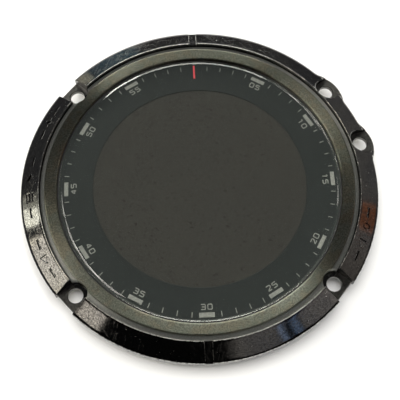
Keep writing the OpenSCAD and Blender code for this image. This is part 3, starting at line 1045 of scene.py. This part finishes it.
# ---------------------------------------------------------------- underside: carrier, seal, tray
def block(bm, low, high, bevel, kind=0):
    """A box with rounded edges, in the material place kind."""
    solid = bmesh.new()
    box(solid, low, high)
    bmesh.ops.recalc_face_normals(solid, faces=solid.faces)
    bmesh.ops.bevel(solid, geom=solid.edges[:], offset=bevel, segments=2, affect="EDGES", profile=0.5)
    for face in solid.faces:
        face.material_index = kind
    mesh = bpy.data.meshes.new("block")
    solid.to_mesh(mesh)
    solid.free()
    bm.from_mesh(mesh)
    bpy.data.meshes.remove(mesh)


def slot_outline(w, h, corner):
    """A rectangle with rounded corners."""
    path = rounded([Vector(p) for p in rectangle(w, h)], corner, True)
    return [(p.x, p.y) for p in path]


def taper(bm, outline, low, high, spread):
    """A closed cutter over a plan outline, wider at its lower end by spread."""
    skin(bm, [[(*p, low) for p in offset(outline, spread)], [(*p, high) for p in outline]])


def carrier_blank():
    """The moulded register as it is turned: rounded edges, a seal groove and a glue groove."""
    bm = bmesh.new()
    low, high, out = FRAME_LOW.z, FRAME_HIGH.z, FRAME_HIGH.x
    groove_r = out - CORD
    groove_low, groove_high = CORD_Z - CORD / 2, CORD_Z + CORD / 2
    glue_in_r, glue_out_r = 17.35 * MM, 17.6 * MM
    lathe(bm, [
        (SPIGOT_IN_R + 0.06 * MM, low),
        *near(out, low, (-0.2, 0), (-0.12, 0.03), (-0.02, 0.13), (0, 0.2)),
        *near(out, groove_low, (0, -0.06), (-0.02, -0.02), (-0.06, 0)),
        *near(groove_r, groove_low, (0.06, 0), (0, 0.06)),
        *near(groove_r, groove_high, (0, -0.06), (0.06, 0)),
        *near(out, groove_high, (-0.06, 0), (-0.02, 0.02), (0, 0.06)),
        *near(out, 0, (0, -0.06), (-0.06, 0)),
        (NECK_R, 0), (NECK_R, high), (SPIGOT_IN_R, high), (SPIGOT_IN_R, WEB_HIGH),
        *near(WEB_R, WEB_HIGH, (0.06, 0), (0, -0.06)),
        *near(WEB_R, WEB_LOW, (0, 0.06), (0.06, 0)),
        *near(glue_in_r, WEB_LOW, (0, 0), (0.05, 0.06)),
        *near(glue_out_r, WEB_LOW, (-0.05, 0.06), (0, 0)),
        *near(SPIGOT_IN_R, WEB_LOW, (-0.15, 0), (-0.04, -0.04), (0, -0.15)),
        (SPIGOT_IN_R, low + 0.06 * MM),
    ], HIDDEN_ROUND)
    return finish_mesh("seal_carrier", bm)


def carrier():
    """The register with its gap for the chin, its slots and the marks of its mould's pins."""
    piece = carrier_blank()
    bm = bmesh.new()
    deep, tall = -3 * MM, 3 * MM
    chin, chin_y = slot_outline(13.4 * MM, 8.2 * MM, 0.6 * MM), -15.1 * MM
    prism(bm, chin, deep, 2 * MM, Matrix.Translation((0, chin_y, 0)))
    slot, slot_r = slot_outline(2.4 * MM, MM, 0.45 * MM), 18.2 * MM
    for degrees in range(30, 360, 60):
        prism(bm, slot, deep, tall, at_clock(slot_r, degrees))
    cut(piece, bm)
    bm = bmesh.new()
    low = FRAME_LOW.z
    pin, pin_r = [(0.5 * MM, low - MM), (0.48 * MM, low + 0.05 * MM)], 20.45 * MM
    for degrees in range(15, 360, 30):
        disc(bm, pin, 32, clock(pin_r, degrees))
    cut(piece, bm)
    sharpen(piece)
    plastic = moulded("carrier_plastic", (0.022, 0.022, 0.024), (0.04, 0.04, 0.043), 0.45, 0.006 * MM, 4200)
    give(piece, [plastic], stands_for=("carrier_frame",))


def case_seal():
    """The main O-ring, with the fine flash line of its mould."""
    bm = bmesh.new()
    middle, r, flash = FRAME_HIGH.x - CORD / 2, CORD / 2, 0.006 * MM
    profile = arc(middle, CORD_Z, r - flash, 0, 351, 39)
    profile[0] = (middle + r, CORD_Z)
    profile[20] = (middle - r, CORD_Z)
    lathe(bm, profile, HIDDEN_ROUND)
    piece = finish_mesh("case_seal", bm, 60)
    rubber = moulded("seal_rubber", (0.09, 0.014, 0.012), (0.15, 0.024, 0.018), 0.35, 0.003 * MM)
    give(piece, [rubber], stands_for=("main_o_ring",))


def tray():
    """The pressed steel tray, with rolled corners, two stiffening panels, a ring bead and holes."""
    bm = bmesh.new()
    low, high, out = TRAY_LOW.z, TRAY_HIGH.z, TRAY_HIGH.x
    sheet, bead = 0.15 * MM, 0.05 * MM
    centre_r, bead_r, wall_r = 0.01 * MM, 10.4 * MM, out - 0.25 * MM
    lathe(bm, [
        (centre_r, low),
        *near(bead_r, low, (0, 0), (0.1, 0.05), (0.5, 0.05), (0.6, 0)),
        *near(out, low, (-0.2, 0), (-0.1, 0.02), (-0.03, 0.08), (0, 0.18)),
        *near(out, high, (0, -0.03), (-0.03, 0)),
        *near(wall_r, high, (0.03, 0), (0, -0.03)),
        *near(wall_r, low + sheet, (0, 0.04), (-0.04, 0)),
        (centre_r, low + sheet),
    ], HIDDEN_ROUND)
    piece = finish_mesh("display_tray", bm)
    # The gap in the wall for the chin, then the panels and holes
    bm = bmesh.new()
    gap, gap_y = 6.3 * MM, -11 * MM
    box(bm, (-gap, -30 * MM, low + sheet + 0.01 * MM), (gap, gap_y, ABOVE))
    panel_x, hole_y, hole_r = 7.4 * MM, 6.6 * MM, 0.55 * MM
    for x in (-panel_x, panel_x):
        panel = [(x + px, py) for px, py in slot_outline(2.4 * MM, 9 * MM, 1.1 * MM)]
        taper(bm, panel, low - bead, low + bead, 2 * bead)
        for y in (-hole_y, hole_y):
            prism(bm, circle(hole_r, (x, y), 32), -2 * MM, low + sheet + 0.02 * MM)
    cut(piece, bm)
    sharpen(piece)
    steel = metal("tray_steel", (0.4, 0.41, 0.42), (0.6, 0.61, 0.62), 0.34, (700, 7000, 700))
    give(piece, [steel], stands_for=("backlight_tray",))


def foam():
    """Two foam crescents with soft lower edges."""
    bm = bmesh.new()
    low, high = FOAM_LOW.z, FOAM_HIGH.z
    inner, outer, gap = 11.5 * MM, 15.8 * MM, 6 * MM
    levels = [(0, high), *near(0, low, (0, 0.12), (-0.03, 0.04), (-0.12, 0))]
    for side in (-1, 1):
        plan = []
        for r, way in ((outer, 1), (inner, -1)):
            reach = math.degrees(math.acos(gap / r)) * way
            plan += [(side * x, side * y) for x, y in arc(0, 0, r, -reach, reach, 48)]
        skin(bm, [[(*p, z) for p in offset(plan, move)] for move, z in levels])
    piece = finish_mesh("foam_crescents", bm, 50)
    soft = moulded("foam", (0.008, 0.008, 0.008), (0.05, 0.05, 0.05), 0.95, 0.06 * MM, 3600)
    give(piece, [soft], stands_for=("foam_pads",))


def contacts():
    """Gold antenna pads with two pressed dimples each, in their pockets."""
    bm = bmesh.new()
    low = 0.1 * MM
    for degrees in PAD_PLACES:
        turned = at_clock(PAD_R, degrees)
        start = len(bm.verts)
        block(bm, (-PAD_W / 2, -PAD_L / 2, low), (PAD_W / 2, PAD_L / 2, PAD_HIGH), 0.04 * MM)
        bm.verts.ensure_lookup_table()
        for vert in bm.verts[start:]:
            vert.co = turned @ vert.co
    piece = finish_mesh("antenna_pads", bm)
    bm = bmesh.new()
    for degrees in PAD_PLACES:
        for shift in (-0.55 * MM, 0.55 * MM):
            spot = at_clock(PAD_R, degrees) @ Vector((shift, 0, 0))
            disc(bm, [(0.3 * MM, -MM), (0.26 * MM, low), (0.12 * MM, low + 0.05 * MM)], 32, spot)
    cut(piece, bm)
    sharpen(piece)
    gold = metal("gold", (0.62, 0.42, 0.14), (0.85, 0.62, 0.25), 0.25, (900, 5000, 900))
    give(piece, [gold], stands_for=("antenna_contacts",))


# ---------------------------------------------------------------- flex, with its parts
def flex_path():
    """Stations along the ribbon: half width, Y, Z and the direction of its outer face."""
    bend = (FLEX_TOP_Z - FLEX_LOW_Z) / 2
    middle = (FLEX_TOP_Z + FLEX_LOW_Z) / 2
    wide, slim = FLEX_W / 2, TAIL_W / 2
    path = [(wide, -17 * MM, FLEX_TOP_Z, 0, 1), (wide, BEND_Y, FLEX_TOP_Z, 0, 1)]
    for i in range(1, 20):
        a = math.pi * i / 20
        y, z = BEND_Y - bend * math.sin(a), middle + bend * math.cos(a)
        path.append((wide, y, z, -math.sin(a), math.cos(a)))
    path.append((wide, BEND_Y, FLEX_LOW_Z, 0, -1))
    # Closely spaced across the fold, then narrowing, then straight to the end
    lower = [(wide, FOLD_Y + (i / 24 - 0.5) * 0.9 * MM) for i in range(25)]
    for i in range(9):
        share = i / 8
        ease = share * share * (3 - 2 * share)
        lower.append((wide + (slim - wide) * ease, NARROW_Y + (share - 1) * 1.2 * MM))
    lower += [(slim, NARROW_Y + (TAIL_END_Y - NARROW_Y) * i / 12) for i in range(1, 13)]
    return path + [(half, y, FLEX_LOW_Z, 0, -1) for half, y in lower]


def flex_section():
    """The ribbon's section: shares of the half width and half thickness, with raised tracks outside."""
    points = [(-1, -0.7), (-1, 0.5), (-0.985, 0.7)]
    for i in range(-10, 11):
        u = 0.09 * i
        points += [(u - 0.034, 0.72), (u - 0.024, 1.0), (u + 0.024, 1.0), (u + 0.034, 0.72)]
    return points + [(0.985, 0.7), (1, 0.5), (1, -0.7), (0.985, -1), (-0.985, -1)]


def flex_ribbon():
    """One ribbon from the chin, round the bend and across the fold to the plug."""
    bm = bmesh.new()
    section = flex_section()
    rows = []
    for half, y, z, out_y, out_z in flex_path():
        shares = [(u * half, h * FLEX_HALF) for u, h in section]
        rows.append([(x, y + out_y * h, z + out_z * h) for x, h in shares])
    *walls, _, _ = skin(bm, rows)
    for wall in walls:
        for i, face in enumerate(wall):
            track = section[i][1] == 1.0 and section[(i + 1) % len(section)][1] == 1.0
            face.material_index = 1 if track else 0
    piece = finish_mesh("flex_ribbon", bm, 50)
    film = moulded("flex_film", (0.3, 0.11, 0.02), (0.42, 0.17, 0.035), 0.3, 0.002 * MM)
    track = metal("flex_track", (0.55, 0.27, 0.08), (0.72, 0.38, 0.13), 0.3, (3000, 300, 300))
    piece.data.materials.append(film)
    piece.data.materials.append(track)
    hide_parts("display_flex", "flex_tail")
    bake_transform(piece)


def stiffener():
    """The board behind the plug, in two layers of film and glass cloth."""
    bm = bmesh.new()
    low, high = FLEX_LOW_Z + FLEX_HALF, TRAY_LOW.z - 0.03 * MM
    middle = (low + high) / 2
    half, start, inset = TAIL_W / 2, TAIL_END_Y - 4 * MM, 0.02 * MM
    block(bm, (-half, start, middle), (half, TAIL_END_Y, high), 0.02 * MM)
    block(bm, (-half, start + 0.03 * MM, low), (half, TAIL_END_Y - inset, middle), 0.02 * MM, 1)
    piece = finish_mesh("plug_stiffener", bm)
    board = moulded("stiffener_board", (0.4, 0.33, 0.1), (0.55, 0.47, 0.18), 0.5, 0.004 * MM, 2800)
    glue = moulded("stiffener_glue", (0.3, 0.28, 0.2), (0.4, 0.38, 0.28), 0.4)
    give(piece, [board, glue], "tail", ("flex_stiffener",))


def capacitors():
    """Four chip capacitors with tinned ends and solder at each end."""
    bm = bmesh.new()
    low, high = UNDER_FLEX - 0.4 * MM, UNDER_FLEX
    middle_y, half = -14 * MM, 0.25 * MM
    slim, fillet, solder_low = 0.015 * MM, 0.03 * MM, high - 0.14 * MM
    # Body, tinned ends and solder: Y from the middle, half width, low side, bevel, material place
    blocks = [(-0.3 * MM, 0.3 * MM, half - slim, low + slim, 0.02 * MM, 0)]
    for side in (-1, 1):
        blocks.append((side * 0.22 * MM, side * 0.44 * MM, half, low, 0.035 * MM, 1))
        blocks.append((side * 0.38 * MM, side * 0.5 * MM, half + fillet, solder_low, 0.05 * MM, 1))
    for x in (-2.7 * MM, -0.9 * MM, 0.9 * MM, 2.7 * MM):
        for one, two, reach, bottom, bevel, kind in blocks:
            start, end = middle_y + min(one, two), middle_y + max(one, two)
            block(bm, (x - reach, start, bottom), (x + reach, end, high), bevel, kind)
    piece = finish_mesh("chip_capacitors", bm, 50)
    ceramic = moulded("capacitor_ceramic", (0.2, 0.13, 0.07), (0.3, 0.2, 0.12), 0.45, 0.002 * MM)
    tin = metal("tinned_ends", (0.55, 0.55, 0.55), (0.75, 0.75, 0.76), 0.28, (2000, 2000, 2000))
    give(piece, [ceramic, tin], "tail", ("flex_capacitors",))


def plug_housing(low, high):
    """The board-to-board plug's rounded housing, with a well and a slot for each contact."""
    bm = bmesh.new()
    half_w = PLUG_HALF_W - PLUG_TAB
    block(bm, (-half_w, PLUG_Y - PLUG_HALF_L, low), (half_w, PLUG_Y + PLUG_HALF_L, high), 0.05 * MM)
    piece = finish_mesh("plug_housing", bm, 50)
    bm = bmesh.new()
    taper(bm, rectangle(3.6 * MM, 0.7 * MM, y=PLUG_Y), low - 0.06 * MM, low + 0.4 * MM, 0.06 * MM)
    slot_w, slot_l = 0.11 * MM, 0.05 * MM
    for x, side in CONTACT_PLACES:
        y = PLUG_Y + side * (PLUG_HALF_L + 0.02 * MM)
        box(bm, (x - slot_w, y - slot_l, low + 0.08 * MM), (x + slot_w, y + slot_l, high + 0.1 * MM))
    cut(piece, bm)
    sharpen(piece)
    black = moulded("plug_plastic", (0.014, 0.014, 0.015), (0.03, 0.03, 0.032), 0.35, 0.003 * MM, 5000)
    give(piece, [black], "tail", ("connector_plug",))


def plug_contacts(low, high):
    """The plug's gold contacts and its two metal end tabs."""
    # Each contact: its side, its foot and its spring, as Y from the middle, Z and bevel
    strips = [
        (0.93 * MM, 1.02 * MM, high - 0.55 * MM, high, 0.025 * MM),
        (0.93 * MM, 1.2 * MM, high - 0.07 * MM, high, 0.02 * MM),
        (0.29 * MM, 0.38 * MM, low + 0.05 * MM, low + 0.4 * MM, 0.025 * MM),
    ]
    half = 0.09 * MM
    bm = bmesh.new()
    for x, side in CONTACT_PLACES:
        for inner, outer, bottom, top, bevel in strips:
            start, end = sorted((PLUG_Y + side * inner, PLUG_Y + side * outer))
            block(bm, (x - half, start, bottom), (x + half, end, top), bevel)
    for side in (-1, 1):
        start, end = sorted((side * (PLUG_HALF_W - PLUG_TAB), side * PLUG_HALF_W))
        block(bm, (start, PLUG_Y - 0.5 * MM, low + 0.15 * MM), (end, PLUG_Y + 0.5 * MM, high), 0.015 * MM)
    piece = finish_mesh("plug_contacts", bm, 50)
    gold = metal("plug_gold", (0.65, 0.45, 0.16), (0.88, 0.66, 0.28), 0.22, (3000, 3000, 3000))
    give(piece, [gold], "tail", ("connector_contacts",))


def plug():
    low, high = UNDER_FLEX - 0.6 * MM, UNDER_FLEX
    plug_housing(low, high)
    plug_contacts(low, high)


def lamps():
    """The backlight's white lamp bodies, each with a yellow window towards the light guide."""
    bm = bmesh.new()
    low, high = LED_LOW.z, LED_HIGH.z
    start, end = LED_LOW.y, LED_HIGH.y
    half, window, inset = 0.8 * MM, 0.6 * MM, 0.06 * MM
    for x in (-3.6 * MM, 0, 3.6 * MM):
        block(bm, (x - half, start, low), (x + half, end - 0.04 * MM, high), 0.04 * MM)
        corners = (x - window, end - 0.1 * MM, low + inset), (x + window, end, high - inset)
        block(bm, *corners, 0.02 * MM, 1)
    piece = finish_mesh("lamp_bodies", bm, 50)
    white = moulded("led_body", (0.75, 0.74, 0.7), (0.85, 0.84, 0.8), 0.4, 0.003 * MM)
    phosphor = moulded("led_window", (0.75, 0.55, 0.08), (0.85, 0.66, 0.12), 0.4, 0.003 * MM)
    give(piece, [white, phosphor], stands_for=("backlight_leds",))


# ---------------------------------------------------------------- light, floor, camera
def camera():
    """Views the module from the near side, high above, a little to the left."""
    data = bpy.data.cameras.new("camera")
    data.lens = 70.9
    data.sensor_width = 36
    data.clip_start = 0.005
    data.clip_end = 20
    distance = 110.3 * MM
    elevation, azimuth, roll = math.radians(67.9), math.radians(-4.25), math.radians(1.54)
    target = Vector((-0.15 * MM, -2.89 * MM, RIDGE_Z))
    back = Vector((
        math.sin(azimuth) * math.cos(elevation),
        -math.cos(azimuth) * math.cos(elevation),
        math.sin(elevation),
    ))
    right = (-back).cross(Vector((0, 0, 1))).normalized()
    up = right.cross(-back)
    turned_right = right * math.cos(roll) + up * math.sin(roll)
    turned_up = up * math.cos(roll) - right * math.sin(roll)
    view = Matrix((turned_right, turned_up, back)).transposed().to_4x4()
    view.translation = target + back * distance
    item = bpy.data.objects.new("camera", data)
    item.matrix_world = view
    bpy.context.scene.collection.objects.link(item)
    bpy.context.scene.camera = item


def lamp(name, place, size, power):
    """A soft square lamp that faces the module and that polished faces don't mirror."""
    data = bpy.data.lights.new(name, "AREA")
    data.shape = "SQUARE"
    data.size = size
    data.energy = power
    item = bpy.data.objects.new(name, data)
    item.location = place
    item.rotation_euler = Vector(place).to_track_quat("Z", "Y").to_euler()
    item.visible_glossy = False
    item.visible_transmission = False
    bpy.context.scene.collection.objects.link(item)


def heading(azimuth, elevation):
    """A direction from an azimuth clockwise from twelve and an elevation, in degrees."""
    a, e = math.radians(azimuth), math.radians(elevation)
    return Vector((math.sin(a) * math.cos(e), math.cos(a) * math.cos(e), math.sin(e)))


# What the polished faces mirror: azimuth, elevation, half width, half height and soft edge in
# degrees, then colour and strength
PANELS = [
    ("far window", 359, 25, 18.5, 13, 1.5, (1.0, 0.99, 0.9), 4.6),
    ("far window pane", 342, 32, 4, 5, 1, (1.0, 0.99, 0.94), 6.0),
    ("far shelf", 25, 33, 2.5, 4, 1, (1.0, 0.97, 0.9), 0.7),
    ("far lamp", 30, 34.5, 1.2, 1.5, 0.5, (1.0, 0.98, 0.92), 7.0),
    ("right shelf", 37.5, 37, 2.5, 4, 1, (1.0, 0.97, 0.9), 1.6),
    ("right lamp", 62, 47, 3.2, 1.5, 1, (1.0, 0.97, 0.9), 2.5),
    ("left window", 239, 45, 3.9, 5, 1, (1.0, 0.93, 0.82), 2.4),
    ("left wall", 267, 36, 9, 6, 1.5, (1.0, 0.93, 0.76), 4.0),
    ("left curtain", 285.7, 28, 2.3, 6, 0.8, (1.0, 0.99, 0.82), 5.8),
    ("left curtain edge", 291, 25.8, 1.8, 5, 0.8, (1.0, 0.99, 0.8), 1.0),
    ("upper left pane 1", 262, 65, 5, 3.5, 1.5, (1.0, 0.95, 0.88), 3.6),
    ("upper left pane 2", 276, 60.5, 5, 3.5, 1.5, (1.0, 0.95, 0.88), 3.6),
    ("upper left pane 3", 288, 56, 4, 3.5, 1.5, (1.0, 0.95, 0.88), 3.6),
    ("left lamp", 297, 51, 1.2, 1.5, 0.5, (1.0, 0.97, 0.9), 6.0),
    ("left lamp two", 301.5, 49.5, 1.4, 1.5, 0.5, (1.0, 0.97, 0.9), 3.0),
    ("blue sky", 341, 5, 6, 3, 2, (0.35, 0.8, 1.0), 0.27),
    ("cream patch", 333, 9.5, 1.4, 2.5, 0.6, (1.0, 0.95, 0.7), 1.15),
    ("orange wood", 79.5, 26.3, 3.6, 4, 1.5, (1.0, 0.25, 0.0), 0.45),
    ("blue streak 1", 132.5, 43.5, 0.9, 5, 0.8, (0.45, 0.65, 1.0), 0.75),
    ("blue streak 2", 139.5, 45, 0.7, 5, 0.8, (0.45, 0.65, 1.0), 0.75),
    ("far right room", 55, 17, 17, 9, 4, (1.0, 0.95, 0.86), 0.17),
    ("right room", 98, 31, 11, 7, 4, (1.0, 0.9, 0.8), 0.26),
    ("near right room", 119, 41, 6.5, 8, 2.5, (1.0, 0.95, 0.9), 0.5),
    ("near room", 152, 46, 5, 8, 7, (1.0, 0.95, 0.88), 0.4),
]


def surround():
    """An even pale surround, which metal and glass see as a dim room with soft panels."""
    world = bpy.data.worlds.new("surround")
    world.use_nodes = True
    sky = Graph(world.node_tree)
    way = sky.add("ShaderNodeTexCoord").outputs["Generated"]
    parts = sky.add("ShaderNodeSeparateXYZ")
    sky.join(way, parts.inputs[0])
    ahead_dim = sky.step(parts.outputs[1], -0.3, 0.15, 0.01, 0.12)
    high_dim = sky.step(parts.outputs[2], 0.7, 0.85, 1.0, 0.4)
    total = sky.grey(sky.times(ahead_dim, high_dim))
    for _, azimuth, elevation, half_w, half_h, soft, colour, strength in PANELS:
        centre = heading(azimuth, elevation)
        side = centre.cross(Vector((0, 0, 1))).normalized()
        up = side.cross(centre)
        ahead = sky.dot(way, tuple(centre))
        across = sky.math("DIVIDE", sky.dot(way, tuple(side)), sky.most(ahead, 0.001))
        along = sky.math("DIVIDE", sky.dot(way, tuple(up)), sky.most(ahead, 0.001))
        edge = math.tan(math.radians(soft))
        shape = sky.times(
            sky.band(across, 0.0, math.tan(math.radians(half_w)), edge),
            sky.band(along, 0.0, math.tan(math.radians(half_h)), edge),
            sky.math("GREATER_THAN", ahead, 0.0),
        )
        total = sky.blend(shape, total, tuple(strength * part for part in colour), "ADD")
    room = sky.tree.nodes["Background"]
    sky.join(total, room.inputs["Color"])
    pale = sky.add("ShaderNodeBackground")
    sky.feed(pale.inputs["Color"], (0.95, 0.95, 0.95))
    path = sky.add("ShaderNodeLightPath")
    either = sky.add("ShaderNodeMixShader")
    sky.join(path.outputs["Is Camera Ray"], either.inputs[0])
    sky.join(room.outputs[0], either.inputs[1])
    sky.join(pale.outputs[0], either.inputs[2])
    sky.join(either.outputs[0], sky.tree.nodes["World Output"].inputs["Surface"])
    bpy.context.scene.world = world


def studio():
    """A pale floor, the surround and soft lamps."""
    side = 3.0
    floor_z = cad_bounds[0][2]
    bm = bmesh.new()
    bm.faces.new([bm.verts.new((x, y, floor_z)) for x, y in rectangle(side, side)])
    mesh = bpy.data.meshes.new("floor")
    bm.to_mesh(mesh)
    bm.free()
    floor = link("floor", mesh)
    paint = Paint("floor_paper", (0.86, 0.855, 0.84), roughness=0.9)
    paint.colour(paint.blend(paint.noise(40, 3), (0.85, 0.845, 0.825), (0.87, 0.865, 0.845)))
    mesh.materials.append(paint.material)
    surround()
    lamp("overhead", (0.0, 0.05, 1.0), 0.8, 12)
    lamp("left_side", (-0.6, 0.2, 0.9), 0.5, 1)
    bpy.context.scene.view_settings.view_transform = "Standard"


camera()
studio()
bezel()
satin_ring()
lens()
display()
seal()
bond()
minute_track()

carrier()
case_seal()
tray()
foam()
contacts()
flex_ribbon()
stiffener()
capacitors()
plug()
lamps()

PALE_FILM = (0.5, 0.46, 0.3), (0.62, 0.58, 0.4)
dress("ring_adhesive", moulded("bonding_film", *PALE_FILM))
dress("frame_adhesive", moulded("frame_film", *PALE_FILM))
dress("colour_filter_glass", ink("filter_glass", (0.04, 0.05, 0.045), (0.06, 0.07, 0.065), 0.12))
dress("tft_glass", ink("tft_glass", (0.06, 0.08, 0.075), (0.09, 0.11, 0.1), 0.12))
dress("driver_chip", metal("silicon", (0.12, 0.12, 0.14), (0.2, 0.2, 0.23), 0.2, (500, 3000, 500)))
dress("rear_polariser", ink("rear_film", (0.03, 0.03, 0.035), (0.05, 0.05, 0.055), 0.25))
dress("diffuser_sheet", moulded("white_film", (0.78, 0.78, 0.76), (0.86, 0.86, 0.84), 0.6))
dress("light_guide", clear_film("clear_plastic", (0.85, 0.9, 0.9), 0.3, 0.45))
dress("reflector_sheet", moulded("mirror_film", (0.82, 0.82, 0.82), (0.92, 0.92, 0.92), 0.3))
dress("led_strip", moulded("strip_film", (0.3, 0.13, 0.03), (0.4, 0.18, 0.04), 0.35))
